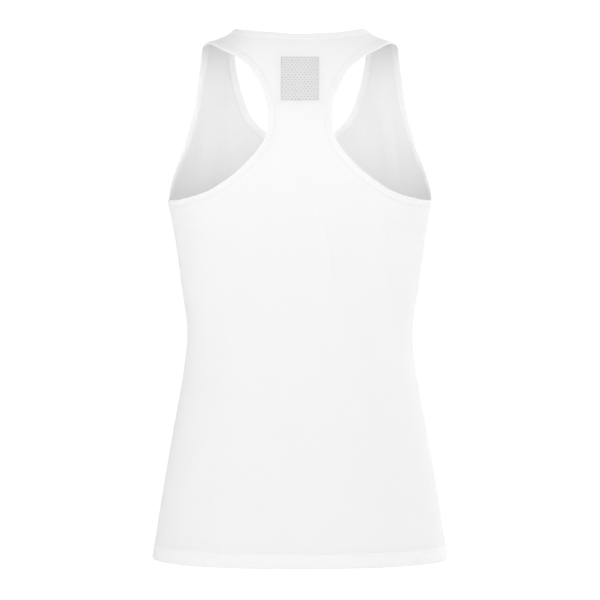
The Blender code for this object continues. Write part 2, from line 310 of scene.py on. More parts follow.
def crest_lift(across, down):
    """How far the crest's own height still lifts or lowers the cloth."""
    faded = np.cos(np.minimum(down / CREST_REACH, 1) * math.pi / 2) ** 2
    return smooth(CREST, 1, np.abs(across)) * faded


def form_points(side, turn, down):
    """The form's points at these places."""
    turn, down = np.asarray(turn, float), np.asarray(down, float)
    level, rolled = level_of(side, down)
    power = smooth(FORM, POWER[side], level)
    across, outward = np.sin(turn * math.pi / 2), np.cos(turn * math.pi / 2)
    reach = (np.abs(across) ** power + np.abs(outward) ** power) ** (-1 / power)
    x = smooth(FORM, HALF_WIDTH, level) * across * reach
    y = smooth(FORM, DEPTH[side], level) * outward * reach * np.sin(rolled)
    z = level + crest_lift(x, down)
    return np.stack([x, side * (y + SEAM_GAP / 2), z], axis=-1)


def place_of(side, across, height):
    """The (turn, down) of the form's points at these distances across and heights."""
    across, height = np.asarray(across, float), np.asarray(height, float)
    low, high = np.zeros_like(height), np.full_like(height, LONGEST_DOWN)
    for _ in range(HALVINGS):
        middle = (low + high) / 2
        above = level_of(side, middle)[0] + crest_lift(across, middle) > height
        low, high = np.where(above, middle, low), np.where(above, high, middle)
    down = (low + high) / 2
    level = level_of(side, down)[0]
    power = smooth(FORM, POWER[side], level)
    share = np.clip(across / smooth(FORM, HALF_WIDTH, level), 0, 1)
    turn = np.arctan2(share, (1 - share**power) ** (1 / power)) / (math.pi / 2)
    return np.stack([turn, down], axis=-1)


def slopes(side, turn, down, nudge=1e-3):
    """The form's points and how they move with turn and with down."""
    down = np.maximum(down, nudge)
    points = form_points(side, turn, down)
    by_turn = (form_points(side, turn + nudge, down) - points) / nudge
    by_down = (form_points(side, turn, down + nudge) - points) / nudge
    return points, by_turn, by_down


def unit(vectors):
    return vectors / np.linalg.norm(vectors, axis=-1, keepdims=True)


def surface(side, turn, down, lift=0.0):
    """Points lifted out of the form, with its creases."""
    turn, down = np.broadcast_arrays(np.asarray(turn, float), np.asarray(down, float))
    points, by_turn, by_down = slopes(side, turn, down)
    outward = side * unit(np.cross(by_turn, by_down))
    lift = lift + relief(side, turn, down, points)
    return form_points(side, turn, down) + outward * lift[..., None]


def line_out(side, turn, down, lift, face=1):
    """A line of such points, and its normals out of the cloth, or into the garment with face -1."""
    points = surface(side, turn, down, lift)
    return points, unit(surface(side, turn, down, lift + face) - points)


# ------------ creases

# Soft ridges (depth over 0) and troughs, from one (across, height) to another on a side. width is
# half of a crease's own, and bow is how far its middle lies off the straight line.
CREASES = {
    # x0, z0, x1, z1, width, depth, bow
    BACK: (
        (-6, -172, -44, -330, 9, 4.0, 5),
        (-82, -188, -124, -336, 10, 4.2, -4),
        (-61, -176, -78, -300, 9, -2.4, 4),
        (50, -176, 66, -330, 11, 3.2, -4),
        (88, -186, 70, -300, 9, -1.4, 3),
        (134, -200, 122, -306, 12, -3.8, -5),
        (-132, -214, -124, -276, 8, -2.8, 3),
        (118, -212, 84, -262, 10, 1.5, 3),
        (104, -330, 128, -452, 16, -2.2, 5),
        (-128, -348, -126, -470, 13, -3.4, -4),
        (-98, -330, -112, -440, 16, 1.9, 4),
        (74, -392, 30, -520, 17, 1.9, -6),
        (-30, -440, -92, -520, 17, 1.7, 5),
        (26, -30, 40, -96, 6, 0.8, 2),
        (-25, -34, -38, -98, 6, 0.8, -2),
    ),
    FRONT: (
        (-66, -66, -96, -172, 9, 2.7, 4),
        (-112, -92, -122, -186, 6, 2.8, -3),
        (-92, -60, -108, -150, 7, -1.9, 2),
        (88, -62, 78, -176, 10, 2.3, -4),
        (118, -96, 122, -184, 7, 2.1, 3),
        (-142, -206, -84, -242, 9, 2.8, 4),
        (-138, -222, -92, -276, 8, -2.1, 3),
        (144, -204, 90, -236, 9, 3.0, -4),
        (138, -226, 96, -282, 9, -1.9, -3),
        (66, -250, 52, -420, 14, 2.8, 5),
        (-60, -254, -56, -400, 13, 2.7, -6),
        (4, -196, -6, -372, 18, -2.5, 4),
        (104, -318, 124, -448, 15, -2.7, 5),
        (-106, -322, -126, -456, 15, -2.5, -5),
        (26, -400, 60, -560, 18, 2.3, 6),
        (-22, -410, -72, -550, 17, 2.1, -6),
    ),
}
# Slow waves in the cloth, by (across, height), in radians for each millimetre
WAVES = (
    # across, height, phase, depth, more toward the hem
    (0.047, 0.006, 0.4, 0.45, 1.65),
    (0.029, -0.013, 2.1, 0.52, 1.05),
    (0.083, 0.017, 4.3, 0.21, 0.52),
    (0.021, 0.031, 1.2, 0.45, 0.0),
    (0.061, -0.043, 5.2, 0.18, 0.0),
    (0.118, 0.071, 3.3, 0.08, 0.0),
)
WAVES_FROM = -330.0
# The sewn edge of a binding pulls the cloth into small puckers, with a gutter beside it
PUCKER = 0.17
PUCKER_REACH = 5.5
PUCKER_WAVE = 9.0
GUTTER = 0.22
GUTTER_AWAY = 3.4
GUTTER_WIDTH = 1.7
GUTTER_WAVE = 61.0
# The gutter's depth wanders about this share of it, and the right half has its own phase
GUTTER_MEAN = 0.6
RIGHT_PHASE = 1.7
# The powers that taper a crease's ends, and that end the relief at the side seams
CREASE_TAPER = 1.5
SIDE_CALM = 10
# The distances below the crest over which the creases and the puckers come in
CREST_CALM = 45.0
PUCKER_CALM = 12.0
# The waves of an uneven line: how often each comes, its share of the phase, and its height
UNEVEN = ((1.0, 1.0, 1.0), (1.37, 2.1, 0.6), (0.61, 3.7, 0.5))


def unevenness(length, wave, phase):
    """A line that wanders between about -1 and 1."""
    angle = length * 2 * math.pi / wave
    waves = [height * np.sin(angle * often + share * phase) for often, share, height in UNEVEN]
    return sum(waves) / sum(height for *_, height in UNEVEN)


def nearest_on(line, points):
    """How far each point is from a line of points, and how far along the line that is."""
    along, flat, found = lengths_along(line), points.reshape(-1, 3), []
    for start in range(0, len(flat), CHUNK):
        square = np.sum((flat[start : start + CHUNK, None] - line) ** 2, axis=2)
        found.append([np.sqrt(square.min(axis=1)), along[square.argmin(axis=1)]])
    return np.hstack(found).reshape(2, *points.shape[:-1])


def puckers(side, points):
    """The small unevenness along the sewn edges of the bindings."""
    hand = np.where(points[..., 0] < 0, RIGHT_PHASE, 0.0)
    folded = np.concatenate([np.abs(points[..., :1]), points[..., 1:]], axis=-1)
    total = np.zeros(points.shape[:-1])
    for phase, line in enumerate(SEWN_EDGES[side]):
        away, at = nearest_on(line, folded)
        wave = unevenness(at, PUCKER_WAVE, phase + hand)
        slow = GUTTER_MEAN + (1 - GUTTER_MEAN) * unevenness(at, GUTTER_WAVE, 2 * phase + hand)
        total += PUCKER * wave * np.exp(-((away / PUCKER_REACH) ** 2))
        total -= GUTTER * slow * np.exp(-(((away - GUTTER_AWAY) / GUTTER_WIDTH) ** 2))
    return total


def relief(side, turn, down, points):
    """How far the creases lift the cloth of one side at these points of the form."""
    x, z = points[..., 0], points[..., 2]
    low = ease((WAVES_FROM - z) / (WAVES_FROM - HEM_LEVEL))
    total = np.zeros_like(x)
    for across, height, phase, depth, more in WAVES:
        total += (depth + more * low) * np.sin(across * x + height * z + phase * side)
    for x0, z0, x1, z1, width, depth, bow in CREASES[side]:
        length = math.hypot(x1 - x0, z1 - z0)
        ux, uz = (x1 - x0) / length, (z1 - z0) / length
        along = np.clip(((x - x0) * ux + (z - z0) * uz) / length, 0, 1)
        off = (x - x0) * uz - (z - z0) * ux - bow * 4 * along * (1 - along)
        total += depth * np.sin(math.pi * along) ** CREASE_TAPER * np.exp(-((off / width) ** 2))
    at_side = 1 - np.abs(turn) ** SIDE_CALM
    total = total * ease(down / CREST_CALM) * at_side
    return total + puckers(side, points) * ease(down / PUCKER_CALM) * at_side


# ------------ paths on the form


def lengths_along(points):
    """The length of a line of points up to each of them."""
    steps = np.linalg.norm(np.diff(points, axis=0), axis=1)
    return np.concatenate([[0.0], np.cumsum(steps)])


def path_lengths(side, path):
    """The length of a path on the form up to each of its points."""
    return lengths_along(form_points(side, *path.T))


def read_rows(rows, places, at):
    """Rows of numbers that lie at these places, read between them at others."""
    return np.column_stack([np.interp(at, places, column) for column in rows.T])


def read_path(path, places):
    """The path's rows at these places, counted in its points."""
    return read_rows(path, np.arange(len(path)), places)


def even_places(side, path, count, start=0.0, stop=1.0):
    """Places at equal lengths along part of a path, as counts of its points."""
    lengths = path_lengths(side, path)
    wanted = np.linspace(start, stop, count + 1) * lengths[-1]
    return np.interp(wanted, lengths, np.arange(len(path)))


def opening_edges(crest, edges, end_turn, end_level=None):
    """The edge of an opening on each side, as a path from the crest to the line turn = end_turn."""
    halves = {}
    for side in (FRONT, BACK):
        half = place_of(side, *np.array(edges[side]).T)
        if end_level is not None:
            half = np.vstack([half, [end_turn, place_of(side, 0.0, end_level)[1]]])
        beyond = [2 * end_turn - half[-2, 0], half[-2, 1]]
        halves[side] = np.vstack([half, beyond]) * [1, side]
    on_crest = [[place_of(BACK, *crest)[0], 0.0]]
    knots = np.vstack([halves[FRONT][::-1], on_crest, halves[BACK]])
    crest_knot = len(halves[FRONT])
    points = [form_points(np.sign(down) or BACK, turn, abs(down)) for turn, down in knots]
    times = lengths_along(np.array(points))
    table = np.column_stack([times, knots])
    found = {}
    for side, last in ((FRONT, 1), (BACK, len(knots) - 2)):
        at = np.linspace(times[crest_knot], times[last], EDGE_POINTS)
        found[side] = np.column_stack([smooth(table, 1, at), np.abs(smooth(table, 2, at))])
        found[side][0, 1] = 0.0
        found[side][-1, 0] = end_turn
    return found


def inset(side, edge, width, cloth):
    """The edge moved into the cloth by a width that is square to it, point by point."""
    moved = edge.copy()
    for _ in range(INSET_STEPS):
        points, by_turn, by_down = slopes(side, moved[:, 0], moved[:, 1])
        along = np.gradient(points, axis=0)
        square = unit(cloth * np.cross(np.cross(by_turn, by_down), along))
        lengths = lengths_along(points)
        rib = square
        for line, distance in ((by_turn, lengths), (by_down, lengths[-1] - lengths)):
            line = unit(line) * np.sign(np.sum(line * square, axis=1, keepdims=True))
            share = np.clip(1 - distance / RIB_TURN, 0, 1)[:, None]
            rib = rib + (line - rib) * share
        rib = rib / np.sum(rib * square, axis=1, keepdims=True) * width / INSET_STEPS
        tangents = np.stack([by_turn, by_down], axis=-1)
        moved = moved + np.einsum("kij,kj->ki", np.linalg.pinv(tangents), rib)
        moved[0, 1] = 0.0
        moved[-1, 0] = edge[-1, 0]
    return moved


NECK = opening_edges(NECK_CREST, NECK_EDGE, 0.0)
ARM = opening_edges(ARM_CREST, ARM_EDGE, 1.0, UNDERARM_LEVEL)
NECK_INNER, NECK_CUT, ARM_INNER, ARM_CUT = (
    {side: inset(side, edge, width, cloth) for side, edge in edges.items()}
    for edges, cloth in ((NECK, NECK_CLOTH), (ARM, ARM_CLOTH))
    for width in (BINDING_WIDTH, BINDING_WIDTH - UNDERLAP)
)
SEWN_EDGES = {
    side: [form_points(side, *path[side].T)[::2] for path in (ARM_INNER, NECK_INNER)]
    for side in (FRONT, BACK)
}


# ------------ meshes


def new_mesh(name, points, faces, uv):
    """An object from points, with uv as their places on the flat cloth, all in millimetres."""
    mesh = bpy.data.meshes.new(name)
    mesh.from_pydata((points.reshape(-1, 3) * MILLIMETRE).tolist(), [], faces)
    layer = mesh.uv_layers.new(name=FLAT)
    corners = np.empty(len(mesh.loops), np.int32)
    mesh.loops.foreach_get("vertex_index", corners)
    flat = (uv.reshape(-1, 2) * MILLIMETRE)[corners]
    layer.uv.foreach_set("vector", flat.astype(np.float32).ravel())
    mesh.shade_smooth()
    thing = bpy.data.objects.new(name, mesh)
    bpy.context.scene.collection.objects.link(thing)
    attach(thing, BODY)
    return thing


def grid_faces(rows, columns, close_rows=False, close_columns=False):
    """Quads over a grid of points that are numbered row by row."""
    number = np.arange(rows * columns).reshape(rows, columns)
    if close_rows:
        number = np.vstack([number, number[:1]])
    if close_columns:
        number = np.hstack([number, number[:, :1]])
    quads = [number[:-1, :-1], number[:-1, 1:], number[1:, 1:], number[1:, :-1]]
    return np.stack(quads, axis=-1).reshape(-1, 4)


def weld(thing, distance=0.002):
    bm = bmesh.new()
    bm.from_mesh(thing.data)
    bmesh.ops.remove_doubles(bm, verts=bm.verts, dist=distance * MILLIMETRE)
    bm.to_mesh(thing.data)
    bm.free()


def thicken(thing, wall, *materials):
    """Give a sheet its wall, with the materials of its outer face and then of its inner face."""
    # The sheet's own faces point out of the garment, and their copies get the inner materials
    modifier = thing.modifiers.new("Wall", "SOLIDIFY")
    modifier.thickness = wall * MILLIMETRE
    modifier.offset = 0
    for material in materials:
        thing.data.materials.append(material)
    modifier.material_offset = len(materials) // 2


# ------------ panels


def place_at_down(path, down):
    """The places in the last quarter of a path, up to the crest, where it is this far down."""
    tail = path[-len(path) // 4 :]
    index = np.arange(len(path))[-len(tail) :]
    return np.interp(-np.asarray(down), -tail[:, 1], index)


# The rows and columns inside a seam's roll, at its own distances, and where the even ones end
ROLL_AWAY = SEAM_ROLL[-2::-1, 0]
BEFORE_ROLL = ROLL_AWAY[0] * 1.5


def strap_places(side, path, start):
    """Even places up to the shoulder seam's roll, then its own places."""
    lengths = path_lengths(side, path)
    stop = np.interp(place_at_down(path, BEFORE_ROLL), np.arange(len(path)), lengths) / lengths[-1]
    even = even_places(side, path, STRAP_ROWS[side], start, stop)
    return np.concatenate([even, place_at_down(path, ROLL_AWAY)])


def arm_places(side):
    """The rows' places on the armhole's cut edge, from the underarm up."""
    path, places, start = ARM_CUT[side][::-1], [0.0], 0.0
    for rows, share, _ in CHEST_STRETCHES[side]:
        places.extend(even_places(side, path, rows, start, share)[1:])
        start = share
    places.extend(strap_places(side, path, start)[1:])
    return np.array(places)


def centre_heights(side, outer):
    """Heights on the centre line for the chest's rows, given the outer ends of those rows."""
    outer_heights = form_points(side, *outer.T)[:, 2]
    neck_height = form_points(side, *NECK_CUT[side][-1])[2]
    heights, margin = [], UNDERARM_RISE
    for rows, _, end_height in CHEST_STRETCHES[side]:
        ends = outer_heights[len(heights) + 1 : len(heights) + 1 + rows]
        end_margin = ends[-1] - (neck_height if end_height is None else end_height)
        heights.extend(ends - np.linspace(margin, end_margin, rows + 1)[1:])
        margin = end_margin
    return np.array(heights)


def body_rows(side, underarm):
    """(down, lift) for each row of the body at the side seam: the fold inside, its turn, then up."""
    hem = place_of(side, 0.0, HEM_LEVEL)[1] - SHEET / 2
    turn_centre = hem - FOLD_RADIUS
    inside = np.linspace(hem - HEM_FOLD, turn_centre, FOLD_ROWS, endpoint=False)
    angles = np.linspace(-math.pi / 2, math.pi / 2, FOLD_STEPS + 1)
    outside = np.linspace(turn_centre, hem - HEM_FOLD - FOLD_EASE, HEM_ROWS + 1)[1:]
    above = np.linspace(outside[-1], underarm, BODY_ROWS + 1)[1:]
    down = np.concatenate([inside, turn_centre + FOLD_RADIUS * np.cos(angles), outside, above])
    out = FOLD_RADIUS * ease((outside - outside[-1]) / FOLD_EASE)
    for above_edge in HEM_STITCHES:
        out = out - STITCH_DIP * np.exp(-(((hem - outside - above_edge) / STITCH_DIP_WIDTH) ** 2))
    lift = np.concatenate(
        [np.full(len(inside), -FOLD_RADIUS), FOLD_RADIUS * np.sin(angles), out, np.zeros(len(above))]
    )
    return down, lift, hem


def panel_places(side):
    """The half panel's (turn, down) and lift for each row and column, up from the hem."""
    arm = read_path(ARM_CUT[side][::-1], arm_places(side))
    neck_path = NECK_CUT[side][::-1]
    neck = read_path(neck_path, strap_places(side, neck_path, 0.0))
    seam, seam_lift, hem = body_rows(side, arm[0, 1])
    underarm = arm[0, 1]
    share = (hem - seam) / (hem - underarm)
    chest = place_of(side, 0.0, centre_heights(side, arm))[:, 1]
    centre_hem, underarm_row = hem + HEM_DIP, underarm + UNDERARM_RISE
    centre = np.concatenate([centre_hem + (underarm_row - centre_hem) * share, chest])
    inner = np.vstack([np.column_stack([np.zeros_like(centre), centre]), neck[1:]])
    outer = np.vstack([np.column_stack([np.ones_like(seam), seam]), arm[1:]])
    lift = np.concatenate([seam_lift, np.zeros(len(outer) - len(seam))])
    body = len(seam) - 1
    turning_rows = [0, body, body + CHEST_STRETCHES[side][0][0]]
    curves = [HEM_CURVE, UNDERARM_CURVE, STRAP_CURVE[side]]
    power = np.interp(np.arange(len(outer)), turning_rows, curves)[:, None]
    last = 1 - BEFORE_ROLL / SIDE_ARC
    across = np.concatenate([np.linspace(0, last, COLUMNS), 1 - ROLL_AWAY / SIDE_ARC])[None, :]
    turn = inner[:, :1] + (outer[:, :1] - inner[:, :1]) * across
    down = inner[:, 1:] + (outer[:, 1:] - inner[:, 1:]) * across**power
    lift = np.broadcast_to(lift[:, None], turn.shape)
    return turn, down, lift


def rolled_in(turn, down):
    """How deep the side and shoulder seams pull the cloth in."""
    to_side = (1 - np.abs(turn)) * SIDE_ARC
    at_side = np.interp(to_side, *SEAM_ROLL.T)
    at_crest = np.interp(down, *SEAM_ROLL.T)
    return np.maximum(at_side, at_crest)


def cloth_uv(side, turn, down, steps=24):
    """Flat places: the length of cloth from the centre line, and the length from the crest."""
    shares = np.linspace(0, 1, steps + 1).reshape(-1, *[1] * turn.ndim)
    line = form_points(side, turn * shares, np.broadcast_to(down, (steps + 1, *turn.shape)))
    across = np.linalg.norm(np.diff(line, axis=0), axis=-1).sum(axis=0) * np.sign(turn)
    return np.stack([across, -down], axis=-1)


def make_panel(name, side):
    """A panel, in two halves that meet on its centre line."""
    turn, down, lift = panel_places(side)
    rows, columns = turn.shape
    lift = lift - rolled_in(turn, down)
    halves = [(surface(side, t, down, lift), cloth_uv(side, t, down)) for t in (turn, -turn)]
    points, uv = map(np.stack, zip(*halves))
    quads = grid_faces(rows, columns)
    # The halves are mirrored, so that their faces run round in opposite ways to face outward
    faces = np.vstack([quads[:, ::-side], quads[:, ::side] + turn.size])
    thing = new_mesh(name, points, faces.tolist(), uv)
    band = np.count_nonzero(down[:, -1] > down[:, -1].max() - HEM_BAND) * (columns - 1)
    in_band = np.tile(np.arange(len(quads)) < band, 2)
    thing.data.polygons.foreach_set("material_index", in_band.astype(np.int32))
    thicken(thing, SHEET, white, doubled, white_inside, white_inside)
    weld(thing)
    return thing


def cut_window(thing):
    """Cut the vent's rectangle out of a panel."""
    bm = bmesh.new()
    bm.from_mesh(thing.data)
    sides = {0: (-VENT_WIDTH / 2, VENT_WIDTH / 2), 2: (VENT_BOTTOM, VENT_TOP)}

    def faces_near(reach):
        limits = [(axis, low - reach, high + reach) for axis, (low, high) in sides.items()]
        centres = [(face, face.calc_center_median() / MILLIMETRE) for face in bm.faces]
        return [f for f, centre in centres if all(low < centre[i] < high for i, low, high in limits)]

    for axis, levels in sides.items():
        for level in levels:
            near = faces_near(WINDOW_REACH)
            edges = dict.fromkeys(edge for face in near for edge in face.edges)
            corners = dict.fromkeys(corner for face in near for corner in face.verts)
            along = [float(axis == i) for i in range(3)]
            at = [level * MILLIMETRE * share for share in along]
            geometry = [*near, *edges, *corners]
            bmesh.ops.bisect_plane(bm, geom=geometry, plane_co=at, plane_no=along)
    bmesh.ops.delete(bm, geom=faces_near(0), context="FACES")
    bm.to_mesh(thing.data)
    bm.free()
    weld(thing, WINDOW_WELD)


# ------------ the vent


def vent_lift(x, z):
    """The mesh lies under the panel outside the window, and comes up inside it."""
    inside = min(VENT_WIDTH / 2 - abs(x), VENT_TOP - z, z - VENT_BOTTOM)
    under = -(SHEET + VENT_WALL) / 2 - SEAM_GAP
    return under + (VENT_LEVEL - under) * float(ease(inside / VENT_EASE))


def vent_grid():
    """The mesh on the flat: its points' (across, height, lift), its faces, and the eyelets' floors of
    painted shade.
    """
    spots, faces, painted_shade_floors = {}, [], []

    def number_of(x, z, extra=0.0):
        """The number of the point at a place, which its neighbours share."""
        spot = (len(spots), x, z, vent_lift(x, z) + extra)
        return spots.setdefault((round(x, 3), round(z, 3)), spot)[0]

    wide, tall = VENT_WIDTH / VENT_COLUMNS, (VENT_TOP - VENT_BOTTOM) / VENT_ROWS
    for row in range(VENT_ROWS):
        bottom, shift = VENT_BOTTOM + row * tall, row % 2 / 2
        for column in range(int(VENT_COLUMNS)):
            left = -VENT_WIDTH / 2 + (column + shift) * wide
            rings = [brick_ring(number_of, left, bottom, wide, tall, *ring) for ring in EYELET_RINGS]
            faces += quads_between(rings)
            # Each eyelet is closed by a floor of painted shade, dark where the hole would show the
            # shaded hollow
            painted_shade_floors.append(len(faces))
            faces.append(rings[-1][-2::-1])
        start = -VENT_WIDTH / 2 if shift else VENT_WIDTH / 2 - wide / 2
        xs = [start + wide / 4 * i for i in range(3)]
        zs = [bottom + tall / 2 * i for i in range(3)]
        faces += rectangle_faces(number_of, xs, zs)

    xs = np.linspace(-VENT_WIDTH / 2, VENT_WIDTH / 2, int(VENT_COLUMNS * 4) + 1)
    zs = np.linspace(VENT_BOTTOM, VENT_TOP, VENT_ROWS * 2 + 1)
    before, after = xs[0] - VENT_MARGIN[::-1], xs[-1] + VENT_MARGIN
    below, above = zs[0] - VENT_MARGIN[::-1], zs[-1] + VENT_MARGIN
    all_xs = [*before, *xs[1:-1], *after]
    for margin in ((all_xs, below), (all_xs, above), (before, zs), (after, zs)):
        faces += rectangle_faces(number_of, *margin)
    return np.array(list(spots.values()))[:, 1:], faces, painted_shade_floors


def brick_ring(number_of, left, bottom, wide, tall, share, size, extra):
    """The numbers of a closed ring of points, on the way from a brick's border to its eyelet."""
    ring = []
    for i, (u, v) in enumerate(BRICK):
        angle = math.radians(BRICK_FIRST_ANGLE + 360 / len(BRICK) * i)
        x = u * wide * (1 - share) + (wide / 2 + EYELET * size * math.cos(angle)) * share
        z = v * tall * (1 - share) + (tall / 2 + EYELET * size * math.sin(angle)) * share
        ring.append(number_of(left + x, bottom + z, extra))
    return [*ring, ring[0]]


def quads_between(rows):
    """Quads between rows of point numbers, which face out of the back."""
    return [
        (row[i], above[i], above[i + 1], row[i + 1])
        for row, above in zip(rows, rows[1:])
        for i in range(len(row) - 1)
    ]


def rectangle_faces(number_of, xs, zs):
    return quads_between([[number_of(x, z) for x in xs] for z in zs])


def back_places(across, height):
    """The turn and down of places on the back, on both hands."""
    turn, down = place_of(BACK, np.abs(across), height).T
    return np.where(across < 0, -turn, turn), down


def make_vent(name):
    spots, faces, painted_shade_floors = vent_grid()
    turn, down = back_places(spots[:, 0], spots[:, 1])
    points = surface(BACK, turn, down, spots[:, 2])
    thing = new_mesh(name, points, faces, cloth_uv(BACK, turn, down))
    # The mesh's darker grey is painted shade of the hollow behind it
    thicken(thing, VENT_WALL, netting_with_painted_shade, eyelet_painted_shade, netting_inside, netting_inside)
    # The eyelets' floors take the dark grey, as painted shade
    for number in painted_shade_floors:
        thing.data.polygons[number].material_index = 1
    return thing


def window_line(away):
    """A closed line of places for stitches round the window, at this distance outside it."""
    x, low, high = VENT_WIDTH / 2 + away, VENT_BOTTOM - away, VENT_TOP + away
    corners = np.array([(-x, low), (x, low), (x, high), (-x, high), (-x, low)])
    lengths = lengths_along(corners)
    at = np.linspace(0, lengths[-1], round(lengths[-1] / WINDOW_STEP) + 1)[:-1]
    places = back_places(*read_rows(corners, lengths, at).T)
    return line_out(BACK, *places, SHEET / 2 + STITCH_SINK)


# ------------ stitches


def resampled(points, outs, count, closed=False):
    """A line of points and its normals, at equal steps."""
    if closed:
        points, outs = np.vstack([points, points[:1]]), np.vstack([outs, outs[:1]])
    lengths = lengths_along(points)
    at = np.linspace(0, lengths[-1], count + 1)
    return read_rows(points, lengths, at), unit(read_rows(outs, lengths, at))


def steps_in(points, closed=False, step=STITCH):
    """The number of stitches along a line."""
    closing = np.linalg.norm(points[0] - points[-1]) if closed else 0.0
    return round((lengths_along(points)[-1] + closing) / step)


def running(line, count, closed=False):
    """Stitches from each step of a line to the next, as (starts, ends, outs, arch)."""
    points, outs = resampled(*line, count, closed)
    return points[:-1], points[1:], unit(outs[:-1] + outs[1:]), 0.0


def zigzag(line, other, count, closed=False, arch=0.0):
    """Stitches to and fro between two lines."""
    points, outs = resampled(*line, count, closed)
    across, _ = resampled(*other, count, closed)
    middle = (across[:-1] + across[1:]) / 2
    starts = np.stack([points[:-1], middle], axis=1).reshape(-1, 3)
    ends = np.stack([middle, points[1:]], axis=1).reshape(-1, 3)
    return starts, ends, np.repeat(unit(outs[:-1] + outs[1:]), 2, axis=0), arch


def make_threads(name, runs, radius=THREAD):
    """One object of stitches, each a short thread that arches out of the cloth."""
    points, uvs = [], []
    share, height, size = STITCH_PROFILE.T
    rings, sides = len(STITCH_PROFILE), THREAD_SIDES
    angles = np.arange(sides) * 2 * math.pi / sides
    for starts, ends, outs, arch in runs:
        span = ends - starts
        across = unit(np.cross(span, outs))
        out = unit(np.cross(across, span))
        lift = height * radius + arch * np.sin(math.pi * share)
        centre = starts[:, None] + span[:, None] * share[:, None] + out[:, None] * lift[:, None]
        circle = (
            across[:, None, None, :] * np.cos(angles)[:, None]
            + out[:, None, None, :] * np.sin(angles)[:, None]
        )
        ring = centre[:, :, None, :] + circle * (size * radius)[:, None, None]
        points.append(ring.reshape(-1, 3))
        length = np.linalg.norm(span, axis=1)[:, None, None] * share[:, None]
        uvs.append(np.stack(np.broadcast_arrays(angles * radius, length), axis=-1).reshape(-1, 2))
    points = np.vstack(points)
    one = grid_faces(rings, sides, close_columns=True).tolist()
    one += [list(range(sides))[::-1], list(range((rings - 1) * sides, rings * sides))]
    firsts = range(0, len(points), rings * sides)
    faces = [[first + i for i in face] for first in firsts for face in one]
    thing = new_mesh(name, points, faces, np.vstack(uvs))
    thing.data.materials.append(thread)
    return thing


def coverstitch(outside, inside, closed=False, arch=0.0):
    """Two rows of stitches outside, and the looper's thread to and fro between them inside."""
    count = steps_in(outside[0][0], closed)
    return [*(running(line, count, closed) for line in outside), zigzag(*inside, count, closed, arch)]


def binding_line(stations, share, height, face):
    """A line of stitches' places round a binding."""
    lift = face * (height + STITCH_SINK)
    line, beyond = read_stations(stations, [share, share], [lift, lift + face]).swapaxes(0, 1)
    return line, unit(beyond - line)


def binding_threads(name, stations):
    faces = ([binding_line(stations, *row, face) for row in STITCH_ROWS] for face in (1, -1))
    return make_threads(name, coverstitch(*faces, closed=True, arch=LOOPER_ARCH))


def window_threads(name):
    """The zigzag round the vent."""
    lines = [window_line(away) for away in WINDOW_ZIGZAG]
    count = steps_in(lines[0][0], closed=True, step=WINDOW_STEP)
    return make_threads(name, [zigzag(*lines, count, closed=True)], WINDOW_THREAD)


def hem_line(side, above_edge, face):
    """A line round a panel's hem, on its outer face or on the folded cloth inside."""
    turn, down, lift = panel_places(side)
    seam = down[:, -1]
    hem = seam.max() - FOLD_RADIUS
    if face == 1:
        rows = np.arange(HEM_ROWS) + FOLD_ROWS + FOLD_STEPS + 1
        row = np.interp(above_edge, hem - seam[rows], rows)
    else:
        rows = np.arange(FOLD_ROWS)
        row = np.interp(hem - above_edge, seam[rows], rows)
    before, share = int(row), row - int(row)
    values = [a[before] * (1 - share) + a[before + 1] * share for a in (turn, down, lift)]
    turn, down, lift = (np.concatenate([a[:0:-1], a]) for a in values)
    turn[: len(turn) // 2] *= -1
    lift = lift - rolled_in(turn, down) + face * (SHEET / 2 + STITCH_SINK)
    return line_out(side, turn, down, lift, face)


def hem_threads(name):
    runs = []
    for side in (FRONT, BACK):
        faces = ([hem_line(side, above, face) for above in HEM_STITCHES] for face in (1, -1))
        runs += coverstitch(*faces)
    return make_threads(name, runs)


# ------------ the seams inside


def seam_spots(seam, hand, along, away):
    """The (turn, down) of places inside a side or shoulder seam, on the back."""
    if seam == "side":
        return hand * (1 - away / SIDE_ARC), along
    return hand * along, away


def seam_ends(seam):
    """Where a seam's inside strip starts and ends, and its length."""
    if seam == "side":
        hem = place_of(BACK, 0.0, HEM_LEVEL)[1]
        ends = hem - HEM_FOLD - ALLOWANCE_END, ARM_CUT[BACK][-1, 1] + ALLOWANCE_END
        return *ends, abs(ends[1] - ends[0])
    neck, arm = NECK_CUT[BACK][0, 0], ARM_CUT[BACK][0, 0]
    points = form_points(BACK, np.array([neck, arm]), np.zeros(2))
    return neck, arm, np.linalg.norm(points[1] - points[0])


def make_allowance(name, seam, hand):
    """The strip of both panels' edges inside a seam."""
    start, stop, length = seam_ends(seam)
    rows = round(length / ALLOWANCE_STEP) + 1
    along, away = np.meshgrid(np.linspace(start, stop, rows), ALLOWANCE[:, 0], indexing="ij")
    lengths = np.linspace(0, length, rows)[:, None]
    ripple = RIPPLE * unevenness(lengths, RIPPLE_WAVE, hand)
    lift = ALLOWANCE[:, 1] + ripple * ease(away / ALLOWANCE[-1, 0])
    points = surface(BACK, *seam_spots(seam, hand, along, away), lift)
    uv = np.stack(np.broadcast_arrays(away, lengths), axis=-1)
    thing = new_mesh(name, points, grid_faces(rows, len(ALLOWANCE)).tolist(), uv)
    thicken(thing, ALLOWANCE_WALL, white_inside)
    return thing


def seam_line(seam, hand, away, lift, face):
    """A line along a seam at a distance from it."""
    start, stop, _ = seam_ends(seam)
    along = np.linspace(start, stop, SEAM_POINTS)
    return line_out(BACK, *seam_spots(seam, hand, along, np.full(SEAM_POINTS, away)), lift, face)


